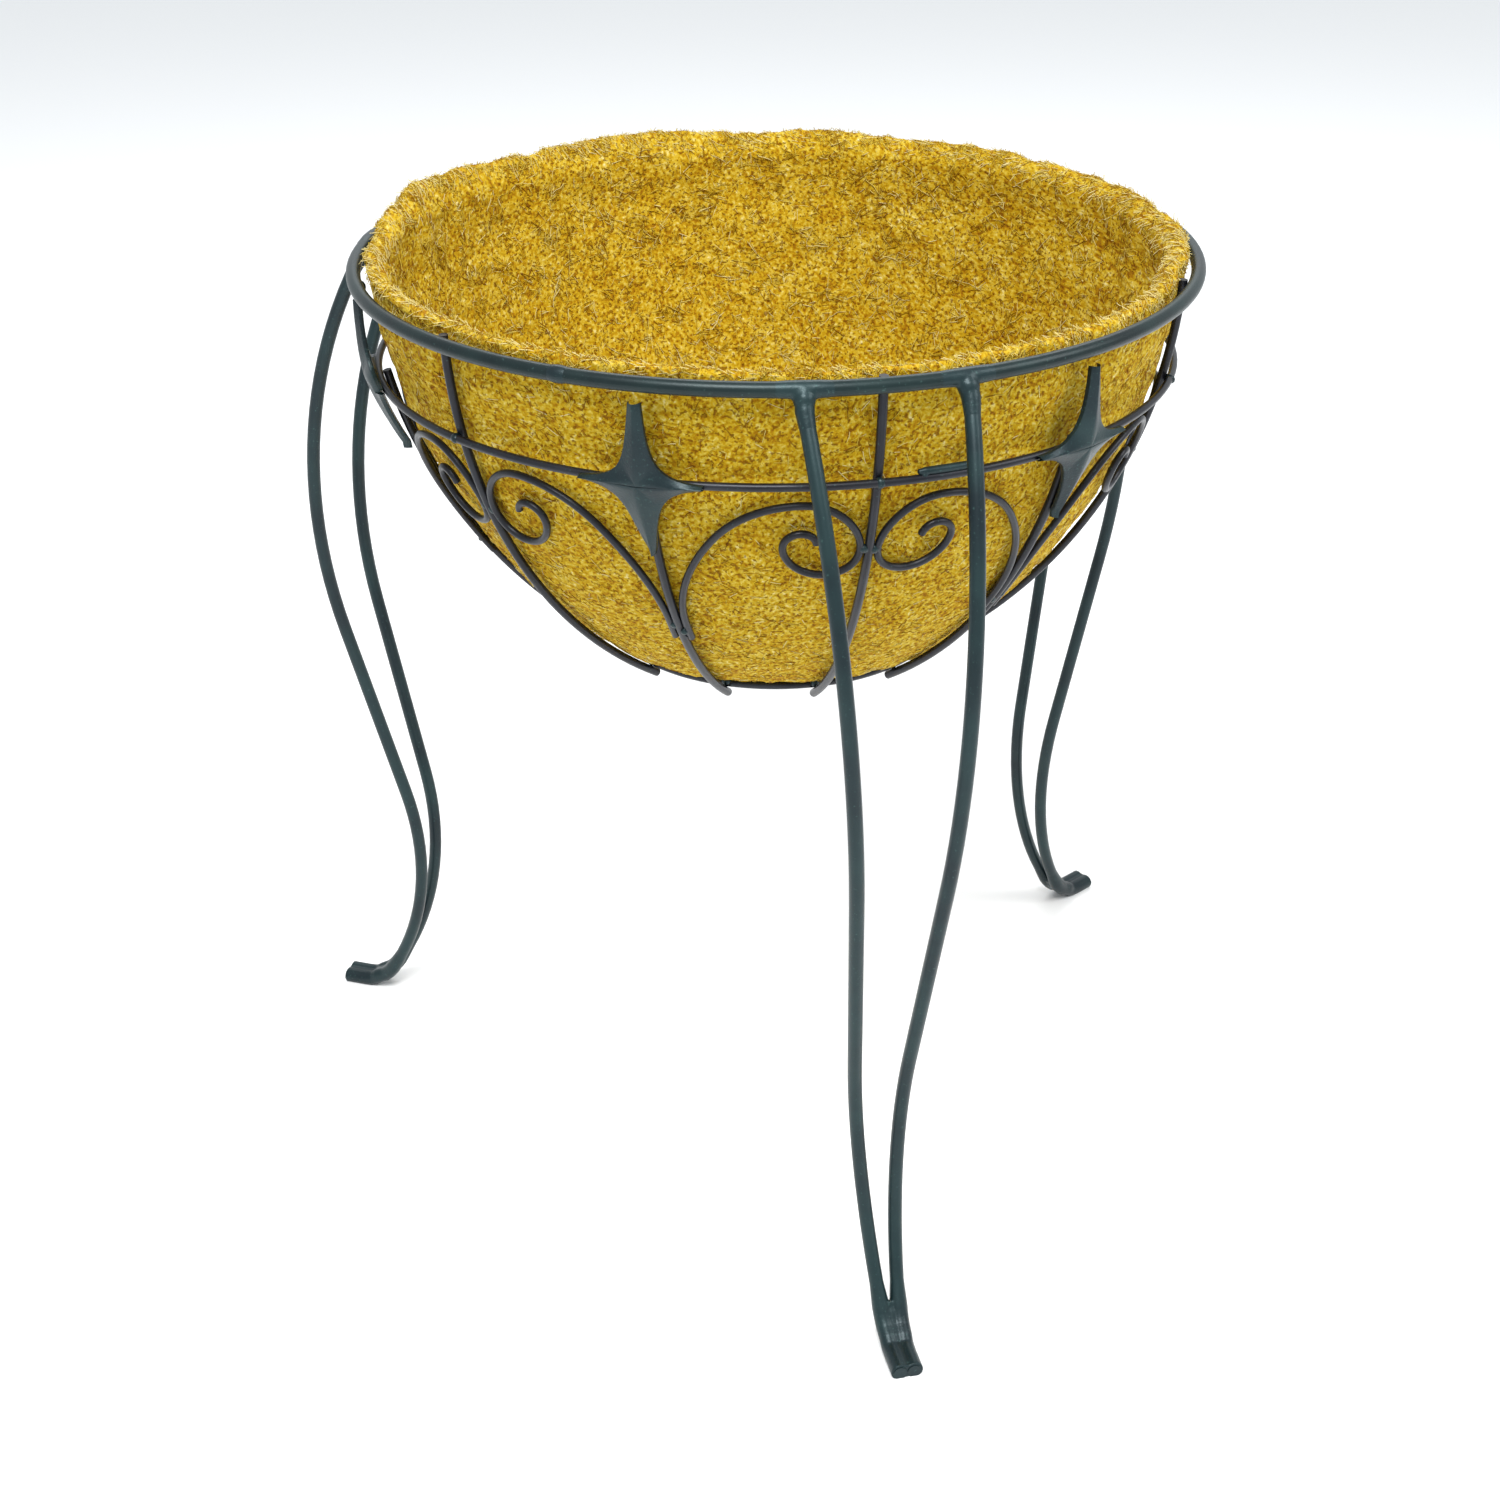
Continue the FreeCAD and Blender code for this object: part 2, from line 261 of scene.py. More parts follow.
# %% [markdown]
# ## The painted steel
#
# The rods carry a satin powder coat, a blue-grey slate with a green cast. Powder flows out into
# a faint orange peel of shallow bumps under a millimetre wide, and it is slightly thicker in some
# places than others, which shows as soft shifts of tint and gloss. Handling has rubbed small
# flecks of the castings and welds lighter. Five finishes share these layers: the stout rod of the
# legs; the rim, a darker and greener copy of the coat, which is painted shade to hold down the
# light its upward face catches; the thin wires of the basket, a darker and browner copy, which is
# painted shade and a painted reflection of the brown coir; the grainier castings; and the welds,
# where paint lies over ripples of metal.

# %% Powder coat
SLATE_DARK = colour(17, 32, 37)
SLATE = colour(27, 48, 50)
SLATE_WORN = colour(66, 98, 94)
# The rim's colours are painted shade: a darker, greener copy of the slate, to hold down the light its
# upward face catches.
RIM_PAINTED_SHADE_DARK = colour(13, 27, 29)
RIM_PAINTED_SHADE = colour(21, 40, 40)
# The thin wires' colours are painted shade and a painted reflection of the brown coir: a darker, browner
# copy of the slate.
WIRE_PAINTED_SHADE_DARK = colour(20, 20, 26)
WIRE_PAINTED_SHADE = colour(34, 36, 42)


def painted(name, grain_size, grain_height, worn, dark=SLATE_DARK, light=SLATE):
    """A powder coat; worn widens the rubbed flecks, and the grain is the orange peel."""
    finish = Finish(name, Metallic=0.45, Specular_IOR_Level=0.4, Coat_Roughness=0.25)
    tint = finish.noise(38, 3)
    fleck = finish.noise(900, 2).between(0.66 - worn, 0.74 - worn)
    drift = finish.noise(9, 1)
    body = finish.mix(tint.between(0.35, 0.65), dark, light)
    finish.set("Base Color", finish.mix(fleck * drift * 0.7, body, SLATE_WORN))
    finish.set("Roughness", 0.30 + 0.16 * tint + 0.12 * fleck)
    finish.set("Coat Weight", 0.16 - 0.16 * drift)
    peel = finish.noise(1 / grain_size, 2)
    dust = finish.noise(3 / grain_size, 2)
    finish.set("Normal", finish.bump(peel + 0.35 * dust, 0.5, grain_height))
    return finish.material


coated_rod = painted("coated_rod", 0.9 * MM, 0.09 * MM, 0.0)
# The rim's finish is a painted-shade copy of the powder coat.
rim_painted_shade = painted("rim_painted_shade", 0.9 * MM, 0.09 * MM, 0.0, RIM_PAINTED_SHADE_DARK, RIM_PAINTED_SHADE)
# The thin wires' finish is a painted-shade copy of the coat, with a painted reflection of the coir.
wire_painted_shade_and_reflection = painted("wire_painted_shade_and_reflection", 0.8 * MM, 0.07 * MM, 0.0, WIRE_PAINTED_SHADE_DARK, WIRE_PAINTED_SHADE)
cast_star = painted("cast_star", 0.7 * MM, 0.22 * MM, 0.03)
weld_bead = painted("weld_bead", 1.1 * MM, 0.18 * MM, 0.02)
KIND_FINISH = {"coated_rod": coated_rod, "rim_painted_shade": rim_painted_shade, "wire_painted_shade_and_reflection": wire_painted_shade_and_reflection,
               "cast_star": cast_star, "weld_bead": weld_bead}


def dress(node):
    """Gives a CAD node the finish of its kind."""
    # Thin rods and rings take the wires' finish of painted shade and painted coir reflection.
    kind = "coated_rod" if node.startswith("leg_rod") else "wire_painted_shade_and_reflection"
    # The rim takes its painted-shade copy of the coat.
    kind = "rim_painted_shade" if node == "rim_ring" else kind
    kind = "cast_star" if node.startswith("star_") and "rib" not in node else kind
    kind = "weld_bead" if "weld" in node else kind
    slots = nodes[node].data.materials
    slots.clear()
    slots.append(KIND_FINISH[kind])
    return kind


kinds = [dress(node) for node in nodes if node != "coco_liner"]
print("painted nodes:", {kind: kinds.count(kind) for kind in set(kinds)})

# %% [markdown]
# ## Making meshes
#
# Most made pieces start from rows of points: `skin` joins neighbouring rows with quads and can
# close the ends. `tube` uses it to wrap a varying radius round a line, and `new_piece` turns
# points and faces into an object at the origin, with its place in its mesh and its finish on.

# %% Mesh helpers
def new_piece(name, points, faces, material):
    """A smooth-shaded object at the origin, its faces turned outwards."""
    mesh = bpy.data.meshes.new(name)
    mesh.from_pydata([tuple(point) for point in points], [], faces)
    shape = bmesh.new()
    shape.from_mesh(mesh)
    bmesh.ops.recalc_face_normals(shape, faces=shape.faces)
    shape.to_mesh(mesh)
    shape.free()
    mesh.materials.append(material)
    mesh.shade_smooth()
    piece = bpy.data.objects.new(name, mesh)
    bpy.context.scene.collection.objects.link(piece)
    return piece


def skin(rows, columns, first=0):
    """Quads between rows of a closed ring of points."""
    faces = []
    for row in range(rows - 1):
        for column in range(columns):
            beside = (column + 1) % columns
            here, there = first + row * columns, first + (row + 1) * columns
            faces.append((here + column, here + beside, there + beside, there + column))
    return faces


def tube(line, radii, first=0, sides=20):
    """Points and faces of a closed tube round a line of points."""
    points = []
    side = Vector((0, 0, 1)) if abs((line[-1] - line[0]).normalized().z) < 0.9 else Vector((1, 0, 0))
    for index, (middle, radius) in enumerate(zip(line, radii)):
        along = (line[min(index + 1, len(line) - 1)] - line[max(index - 1, 0)]).normalized()
        across = along.cross(side).normalized()
        lift = across.cross(along)
        for step in range(sides):
            turn = 2 * math.pi * step / sides
            points.append(middle + across * radius * math.cos(turn) + lift * radius * math.sin(turn))
    faces = skin(len(line), sides, first)
    last = first + (len(line) - 1) * sides
    faces += [tuple(range(first, first + sides)), tuple(range(last, last + sides))]
    return points, faces


def ball(middle, radius, first=0, rings=10):
    """Points and faces of a closed ball."""
    turns = [math.pi * step / rings for step in range(1, rings)]
    line = [middle + Vector((0, 0, -radius * math.cos(turn))) for turn in turns]
    return tube(line, [radius * math.sin(turn) for turn in turns], first)


def applied(piece):
    """Bakes the piece's modifiers into its mesh, and removes them."""
    bpy.context.view_layer.update()
    graph = bpy.context.evaluated_depsgraph_get()
    mesh = bpy.data.meshes.new_from_object(piece.evaluated_get(graph), depsgraph=graph)
    piece.modifiers.clear()
    piece.data = mesh
    return piece


def triangles(piece):
    return sum(len(face.vertices) - 2 for face in piece.data.polygons)


print("helpers ready")

# %% [markdown]
# ## The stars
#
# Each star is a small casting welded over the crossing of a rib and the middle ring: a ridge
# runs down every arm, the faces fall away to thin edges, and the top arm ends blunt. The CAD star
# is a flat plate of the same outline. It could be carved, but the form has a simple rule: between
# two neighbouring arms the surface rises from the outline to the two ridges, so one patch, its
# outline a Bezier curve, is drawn for an upper and a lower quarter and mirrored. The face is
# wrapped onto the basket, with its back where the plate's back is.

# %% The star's outline and ridges
STAR_UP, STAR_DOWN, STAR_SIDE = 32 * MM, 33 * MM, 24 * MM
STAR_TOP_HALF, STAR_POINT_HALF = 2.4 * MM, 0.9 * MM
STAR_TOP_ROOT = (4.6 * MM, 2.4 * MM, 8 * MM)
STAR_LOW_ROOT = (6.5 * MM, 3.0 * MM, 10 * MM)
STAR_EDGE, STAR_RIDGE, STAR_HUB = 1.7 * MM, 3.9 * MM, 5.2 * MM
STAR_MIDDLE = MID.z


def bezier(poles, t):
    """The point at t, 0 to 1, of a cubic curve with four poles."""
    a, b, c, d = (Vector(pole) for pole in poles)
    return (1 - t) ** 3 * a + 3 * t * (1 - t) ** 2 * b + 3 * t ** 2 * (1 - t) * c + t ** 3 * d


def star_patch(root, length, point_half, steps=26, climbs=7):
    """Rows from the outline up to the ridges, as (across, above, depth), for one quarter."""
    poles = [(point_half, length), (root[0], root[2]),
             (STAR_SIDE / 4, root[1]), (STAR_SIDE, STAR_POINT_HALF)]
    rows = []
    for step in range(steps + 1):
        edge = bezier(poles, step / steps)
        level = edge.y / length
        aside = edge.x / STAR_SIDE
        towards_top = min(1.0, max(0.0, 1.5 * (level - aside) + 0.5))
        ridge = Vector((edge.x, 0)).lerp(Vector((0, edge.y)), towards_top)
        if 0 < towards_top < 1:
            ridge *= abs(2 * towards_top - 1)
        far = max(ridge.x / STAR_SIDE, ridge.y / length)
        top = STAR_HUB + (STAR_RIDGE - STAR_HUB) * min(1.0, 1.6 * far)
        row = []
        for climb in range(climbs + 1):
            share = climb / climbs
            depth = STAR_EDGE + (top - STAR_EDGE) * (share - 0.1 * share ** 6)
            spot = edge.lerp(ridge, share)
            row.append((spot.x, spot.y, depth))
        rows.append(row)
    return rows


def plate_back(star, bearing):
    """Distance of the plate's back from the axis, at heights along its upright arms."""
    shape = bmesh.new()
    shape.from_mesh(nodes[star].data)
    tree = BVHTree.FromBMesh(shape)
    shape.free()
    heights = [STAR_MIDDLE + above * MM for above in range(-31, 31, 3)]
    way = outward(bearing)
    return heights, [tree.ray_cast(on_wall(bearing, 0, height), way)[3] for height in heights]


def star_cast(number):
    """One star: its two patches, mirrored and wrapped, with a closed back and bevelled edges."""
    bearing = 360 / BAYS * (number - 0.5)
    heights, backs = plate_back(f"star_{number}", bearing)
    points, faces = [], []

    def wrapped(across, above, depth):
        radius = float(np.interp(STAR_MIDDLE + above, heights, backs)) + depth
        swing = math.degrees(math.asin(across / radius))
        return on_wall(bearing + swing, radius, STAR_MIDDLE + above)

    for up, root, length, point_half in ((1, STAR_TOP_ROOT, STAR_UP, STAR_TOP_HALF),
                                         (-1, STAR_LOW_ROOT, -STAR_DOWN, STAR_POINT_HALF)):
        rows = star_patch(root, abs(length), point_half)
        for side in (1, -1):
            first, columns = len(points), len(rows[0]) + 1
            for row in rows:
                points += [wrapped(side * x, up * y, depth) for x, y, depth in row]
                points.append(wrapped(side * row[0][0], up * row[0][1], 0))
            for r in range(len(rows) - 1):
                for c in list(range(columns - 2)) + [-1]:
                    here, there = first + r * columns, first + (r + 1) * columns
                    low, high = (c, c + 1) if c >= 0 else (columns - 1, 0)
                    faces.append((here + low, here + high, there + high, there + low))
    piece = new_piece(f"star_cast_{number}", points, faces, cast_star)
    shape = bmesh.new()
    shape.from_mesh(piece.data)
    bmesh.ops.remove_doubles(shape, verts=shape.verts, dist=0.02 * MM)
    bmesh.ops.holes_fill(shape, edges=[edge for edge in shape.edges if edge.is_boundary])
    bmesh.ops.triangulate(shape, faces=[face for face in shape.faces if len(face.verts) > 4])
    bmesh.ops.recalc_face_normals(shape, faces=shape.faces)
    open_edges = sum(edge.is_boundary for edge in shape.edges)
    shape.to_mesh(piece.data)
    shape.free()
    sharp = piece.modifiers.new("bevel", "BEVEL")
    sharp.width, sharp.segments = 0.45 * MM, 2
    sharp.limit_method, sharp.angle_limit = "ANGLE", math.radians(40)
    applied(piece)
    piece.data.shade_smooth()
    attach(piece, "stand")
    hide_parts(f"star_{number}")
    return triangles(piece), open_edges


print("stars, triangles and open edges:", [star_cast(number) for number in range(1, BAYS + 1)])

# %% [markdown]
# ## The leg welds
#
# Where a leg's rod meets the rim, the weld flares out along both rods like a fillet of soft wax,
# and where the two rods of a leg close into a foot it fills the fork. Such blends are hard to
# model by hand. Instead we lay plain tubes and balls over the joint, let a voxel remesh fuse
# them into one skin, and smooth it: the smoothing pulls the inner corners into fillets. Each tube
# tapers to just below its rod's surface, so the skin fades out instead of ending in a step. The
# tubes follow the rods' own middles, which are found by cutting the rods with planes.

# %% Fused and smoothed skins
def section_middles(node, cuts):
    """Middles of a rod where planes, each a point and a direction, cut it."""
    middles = []
    for place, way in cuts:
        shape = bmesh.new()
        shape.from_mesh(nodes[node].data)
        far = [face for face in shape.faces
               if min(abs((vertex.co - place).dot(way)) for vertex in face.verts) > 6 * MM]
        bmesh.ops.delete(shape, geom=far, context="FACES")
        cut = bmesh.ops.bisect_plane(shape, geom=shape.verts[:] + shape.edges[:] + shape.faces[:],
                                     plane_co=place, plane_no=way)
        ring = [item.co.copy() for item in cut["geom_cut"] if isinstance(item, bmesh.types.BMVert)]
        shape.free()
        corners = [[pick(point[axis] for point in ring) for axis in range(3)] for pick in (min, max)]
        middles.append((Vector(corners[0]) + Vector(corners[1])) / 2)
    return middles


def level(height):
    """A level plane to cut with."""
    return Vector((0, 0, height)), Vector((0, 0, 1))


def fused(name, parts, voxel, rounds):
    """One smooth closed skin round several tubes and balls."""
    points, faces = [], []
    for make, *sizes in parts:
        more, joined = make(*sizes, first=len(points))
        points += more
        faces += joined
    piece = new_piece(name, points, faces, weld_bead)
    remesh = piece.modifiers.new("fuse", "REMESH")
    remesh.mode, remesh.voxel_size = "VOXEL", voxel
    smooth = piece.modifiers.new("soften", "SMOOTH")
    smooth.factor, smooth.iterations = 0.5, rounds
    applied(piece)
    piece.data.materials.clear()
    piece.data.materials.append(weld_bead)
    piece.data.shade_smooth()
    return piece


LEG_ROD = 6 * MM
SKIN = 0.35 * MM
FLARE = 15 * MM


def rim_joint(leg, side):
    """Tubes and balls over one leg rod's weld to the rim."""
    rod = f"leg_rod_{side}_{leg}"
    below = section_middles(rod, [level(RIM.z - drop * MM) for drop in (7, 9, 12, 15)])
    away = below[0] - AXIS
    bearing = math.degrees(math.atan2(away.x, -away.y))
    top = on_wall(bearing, RIM_RADIUS, RIM.z)
    line = [top] + below
    radii = [LEG_ROD / 2 + share * SKIN for share in (2, 1.8, 1.2, 0.4, -1)]
    spread = math.degrees(FLARE / RIM_RADIUS)
    swings = [spread * share for share in (-1, -0.7, -0.4, 0, 0.4, 0.7, 1)]
    along = [on_wall(bearing + swing, RIM_RADIUS, RIM.z) for swing in swings]
    rim_radii = [RIM_ROD / 2 + share * SKIN for share in (-1, 0.2, 1.0, 1.3, 1.0, 0.2, -1)]
    bead = top.lerp(below[0], 0.45)
    return [(tube, line, radii), (tube, along, rim_radii), (ball, bead, 4.2 * MM)]


def rim_skin(leg):
    parts = rim_joint(leg, "left") + rim_joint(leg, "right")
    piece = fused(f"rim_weld_skin_{leg}", parts, 0.5 * MM, 14)
    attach(piece, "stand")
    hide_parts(f"rim_weld_{leg}")
    return triangles(piece)


print("rim weld skins, triangles:", [rim_skin(leg) for leg in range(1, LEGS + 1)])

# %% The feet
FOOT_CUT = 2 * MM
SKIN_TOP, SKIN_FADE = 23.5 * MM, 4 * MM
WEB_TOP, WEB_THINS = 16 * MM, 13 * MM


def foot_cuts(leg, bearing):
    """Planes across a foot: upright ones back from its tip, and level ones once the rod climbs."""
    tip = AXIS.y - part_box("leg_rod_right_1")[0].y
    cuts, middles = [], []
    for step in range(13):
        back = max(step * FOOT_CUT, 0.3 * MM)
        cut = on_wall(bearing, tip - back, 0), outward(bearing)
        middle = section_middles(f"leg_rod_right_{leg}", [cut])[0]
        if middles and middle.z - middles[-1].z > FOOT_CUT:
            break
        cuts.append(cut)
        middles.append(middle)
    heights = [middles[-1].z + step * FOOT_CUT for step in range(1, 11)]
    return cuts + [level(height) for height in heights if height < SKIN_TOP + 1.5 * MM]


def foot_skin(leg):
    """Tubes over both rods of a foot and a web between them, fused, and flat on the floor."""
    bearing = 360 / LEGS * (leg - 1)
    cuts = foot_cuts(leg, bearing)
    lines = [section_middles(f"leg_rod_{side}_{leg}", cuts) for side in ("left", "right")]
    between = [left.lerp(right, 0.5) for left, right in zip(*lines) if left.z < WEB_TOP]
    shares = [min(2.4, max(-0.6, (SKIN_TOP - point.z) / SKIN_FADE)) for point in lines[0]]
    radii = [LEG_ROD / 2 + SKIN * share for share in shares]
    web = [(3.3 if point.z < WEB_THINS else 2.8) * MM for point in between]
    parts = [(tube, line, radii) for line in lines] + [(tube, between, web)]
    piece = fused(f"foot_weld_skin_{leg}", parts, 0.45 * MM, 6)
    for vertex in piece.data.vertices:
        vertex.co.z = max(vertex.co.z, 0)
    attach(piece, "stand")
    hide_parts(f"foot_weld_{leg}")
    return bearing, triangles(piece)


print("foot skins, bearing and triangles:", [foot_skin(leg) for leg in range(1, LEGS + 1)])

# %% [markdown]
# ## Tack welds
#
# Every crossing of thin rods is held by a small tack: a bead about as wide as the rod, pulled a
# little along both. There are over fifty, so they are a job for Geometry Nodes. Python works out
# where the rods cross, as bare points, and a node tree puts one low-faced bead on each, turned
# and sized a little differently, from a fixed seed.

# %% A small helper for node trees
class Tree:
    """A Geometry Nodes tree with named inputs, built a node at a time."""

    def __init__(self, name, **inputs):
        self.group = bpy.data.node_groups.new(name, "GeometryNodeTree")
        self.group.interface.new_socket("Geometry", in_out="INPUT", socket_type="NodeSocketGeometry")
        self.group.interface.new_socket("Geometry", in_out="OUTPUT", socket_type="NodeSocketGeometry")
        kinds = {float: "NodeSocketFloat", int: "NodeSocketInt",
                 bpy.types.Material: "NodeSocketMaterial"}
        for label, value in inputs.items():
            self.group.interface.new_socket(label, in_out="INPUT", socket_type=kinds[type(value)])
        self.values = inputs
        self.start = self.group.nodes.new("NodeGroupInput")

    def input(self, label):
        return self.start.outputs[label]

    def node(self, kind, settings, inputs, output=0):
        made = self.group.nodes.new(kind)
        for name, value in settings.items():
            setattr(made, name, value)
        for key, value in inputs.items():
            if isinstance(value, bpy.types.NodeSocket):
                self.group.links.new(value, made.inputs[key])
            else:
                made.inputs[key].default_value = value
        return made.outputs[output]

    def maths(self, operation, *values):
        return self.node("ShaderNodeMath", {"operation": operation}, dict(enumerate(values)))

    def finish_with(self, geometry):
        end = self.group.nodes.new("NodeGroupOutput")
        self.group.links.new(geometry, end.inputs[0])

    def made_on(self, piece, name):
        """The tree's result on a piece, as a new plain mesh object."""
        modifier = piece.modifiers.new(name, "NODES")
        modifier.node_group = self.group
        for item in self.group.interface.items_tree:
            if item.item_type == "SOCKET" and item.in_out == "INPUT" and item.name in self.values:
                modifier[item.identifier] = self.values[item.name]
        bpy.context.view_layer.update()
        graph = bpy.context.evaluated_depsgraph_get()
        mesh = bpy.data.meshes.new_from_object(piece.evaluated_get(graph), depsgraph=graph)
        mesh.name = name
        piece.modifiers.remove(modifier)
        made = bpy.data.objects.new(name, mesh)
        bpy.context.scene.collection.objects.link(made)
        return made


print("tree helper ready")

# %% Where the rods cross
def crossings():
    """Points between each rib and the rings, and between each scroll and its ribs."""
    found = []
    for bay in range(2 * BAYS):
        bearing = 180 / BAYS * bay
        found.append(on_wall(bearing, RIM_RADIUS - 0.45 * RIM_ROD, RIM.z - 0.35 * RIM_ROD))
        if bay % 2 == 0:
            found.append(on_wall(bearing, MID_RADIUS, MID.z))
        found.append(on_wall(bearing, BASE_RADIUS + 0.3 * RIB_ROD, BASE.z + 0.3 * RIB_ROD))
    for number in range(1, BAYS + 1):
        for side in ("left", "right"):
            vertices = list(nodes[f"scroll_{side}_{number}"].data.vertices)
            scroll = [vertex.co for vertex in vertices[::7]]
            beside = number if side == "left" else number % BAYS + 1
            for rib in (f"star_rib_{number}", f"plain_rib_{beside}"):
                near = closest(scroll, nodes[rib])
                if near:
                    found.append(near)
    return found


def closest(points, rib):
    """Middle of the shortest gap from some points to a rib, if they all but touch."""
    shape = bmesh.new()
    shape.from_mesh(rib.data)
    tree = BVHTree.FromBMesh(shape)
    shape.free()
    best = min(((tree.find_nearest(point), point) for point in points), key=lambda pair: pair[0][3])
    (spot, _, _, gap), point = best
    return (spot + point) / 2 if gap < 0.5 * MM else None


places = crossings()
print("tack welds:", len(places))

# %% Beads on the crossings
TACK = 2.1 * MM


def tack_tree():
    tree = Tree("tack_welds", Radius=TACK, Seed=7, Paint=weld_bead)
    blob = tree.node("GeometryNodeMeshIcoSphere", {},
                     {"Radius": tree.input("Radius"), "Subdivisions": 2})
    turn = tree.node("FunctionNodeRandomValue", {"data_type": "FLOAT_VECTOR"},
                     {1: (math.pi, math.pi, math.pi), "Seed": tree.input("Seed")})
    size = tree.node("FunctionNodeRandomValue", {"data_type": "FLOAT_VECTOR"},
                     {0: (0.85, 0.85, 1.0), 1: (1.1, 1.1, 1.35), "Seed": tree.input("Seed")})
    beads = tree.node("GeometryNodeInstanceOnPoints", {},
                      {"Points": tree.input("Geometry"), "Instance": blob,
                       "Rotation": turn, "Scale": size})
    solid = tree.node("GeometryNodeRealizeInstances", {}, {0: beads})
    painted_beads = {0: solid, "Material": tree.input("Paint")}
    tree.finish_with(tree.node("GeometryNodeSetMaterial", {}, painted_beads))
    return tree


points_only = new_piece("tack_places", places, [], weld_bead)
tacks = tack_tree().made_on(points_only, "tack_welds")
bpy.data.objects.remove(points_only)
tacks.data.shade_smooth()
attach(tacks, "stand")
print("tack weld triangles:", triangles(tacks))

# %% [markdown]
# ## The ring joints
#
# The rim was bent from one rod and butt-welded: a slight swelling marks the place. The middle
# ring's ends lap instead, so for some two centimetres one rod lies on top of the other, with a
# tack at both ends. Both are short tubes along the ring, fused and smoothed like the other welds.

# %% The rim's butt weld and the middle ring's lap
RIM_SEAM, MID_LAP, LAP_TACK = -39.5, 9.0, 3.2


def along_ring(bearing, radius, height, half, steps=9):
    """Points on a ring, to half a length either side of a bearing."""
    spread = math.degrees(half / radius)
    swings = [spread * (2 * step / (steps - 1) - 1) for step in range(steps)]
    return [on_wall(bearing + swing, radius, height) for swing in swings]


swelling = [RIM_ROD / 2 + share * MM for share in (-0.3, 0.05, 0.25, 0.4, 0.45, 0.4, 0.25, 0.05, -0.3)]
lap = [MID_ROD / 2 * share for share in (0.6, 0.95, 1, 1, 1, 1, 1, 0.95, 0.6)]
joints = fused("ring_joints", [
    (tube, along_ring(RIM_SEAM, RIM_RADIUS, RIM.z, 4.5 * MM), swelling),
    (tube, along_ring(MID_LAP, MID_RADIUS, MID.z + 0.85 * MID_ROD, 12 * MM), lap),
    (ball, on_wall(MID_LAP + LAP_TACK, MID_RADIUS, MID.z + 0.4 * MID_ROD), 1.5 * MM),
    (ball, on_wall(MID_LAP - LAP_TACK, MID_RADIUS, MID.z + 0.4 * MID_ROD), 1.5 * MM)], 0.35 * MM, 3)
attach(joints, "stand")
print("ring joint triangles:", triangles(joints))

# %% [markdown]
# ## Coir
#
# Coir is coconut husk fibre, needled and glued into a mat: golden brown, full of pale strands and
# dark specks of pith, and dead matt. Up close it has two scales, a felt of crossing fibres under
# a millimetre wide and soft clouds of darker and lighter matter. The felt is stretched noise in
# three directions, so that short strokes cross each other; bump follows the same strokes.

# %% The coir finish
COIR_DARK = colour(106, 62, 2)
COIR_LOW = colour(146, 103, 4)
COIR = colour(174, 141, 18)
COIR_LIGHT = colour(190, 166, 64)
COIR_PALE = colour(208, 194, 138)


COIR_STEPS = (COIR_DARK, COIR_LOW, COIR, COIR_LIGHT, COIR_PALE)


def coir_finish():
    """Felt: short crossing strokes, specks of pith and soft clouds."""
    finish = Finish("coir_felt", Metallic=0.0, Specular_IOR_Level=0.1)
    strokes = None
    for turns in ((0.3, 0.2, 0.1), (0.9, -0.6, 1.2), (-0.5, 1.1, 2.3)):
        grain = finish.noise(620, 2, finish.stretched((1, 0.22, 1), turns))
        strokes = grain if strokes is None else strokes + grain
    strokes = strokes * (1 / 3)
    speck = finish.noise(640, 1).between(0.58, 0.66)
    cloud = finish.noise(90, 3)
    tone = (strokes - 0.5) * 2.6 + (cloud - 0.5) * 0.55 + 0.5
    shade = tone.steps(*zip((0.0, 0.26, 0.5, 0.74, 1.0), COIR_STEPS))
    finish.set("Base Color", finish.mix(speck * 0.75, shade, COIR_DARK))
    finish.set("Roughness", 0.82 + 0.16 * cloud)
    finish.set("Normal", finish.bump(strokes + 0.3 * speck, 0.9, 1.2 * MM))
    return finish.material


def fibre_finish():
    """Hairs: one tone each, from the tone that their tree stores."""
    finish = Finish("coir_fibre", Metallic=0.0, Specular_IOR_Level=0.15)
    tone = finish.node("ShaderNodeAttribute", {"attribute_name": "tone"}, {}, "Fac")
    shade = tone.steps(*zip((0.0, 0.2, 0.45, 0.72, 1.0), COIR_STEPS))
    finish.set("Base Color", shade)
    finish.set("Roughness", 0.62 + 0.2 * finish.noise(400))
    return finish.material


coir = coir_finish()
coir_fibre = fibre_finish()
print("coir finishes:", coir.name, coir_fibre.name)

# %% [markdown]
# ## The liner's felt
#
# The liner is a thick moulded bowl of that mat. It lies a little slack in the basket, its floor
# corner is round, and its cut edge is torn more than cut, so it waves up and down and stands
# higher at the back. The CAD bowl gives the two wall surfaces: a level ray from the axis meets
# the inner wall first and the outer wall next. From those we draw one profile, sweep it round
# with the edge's own height at each bearing, and push the points about with noise of four sizes.

# %% The bowl's walls, from the CAD bowl
def bowl_walls():
    """Heights, and the inner and outer wall's distance from the axis at each."""
    shape = bmesh.new()
    shape.from_mesh(nodes["coco_liner"].data)
    tree = BVHTree.FromBMesh(shape)
    shape.free()
    low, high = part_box("coco_liner")
    floor_top = tree.ray_cast(on_wall(0, 0, high.z), Vector((0, 0, -1)))[0].z
    heights = np.linspace(floor_top + 0.3 * MM, high.z - 0.5 * MM, 60)
    inner, outer = [], []
    for height in heights:
        start, way = on_wall(180, 0, height), outward(180)
        near = tree.ray_cast(start, way)[3]
        inner.append(near)
        outer.append(near + tree.ray_cast(start + way * (near + 0.01 * MM), way)[3])
    return low.z, floor_top, heights, inner, outer


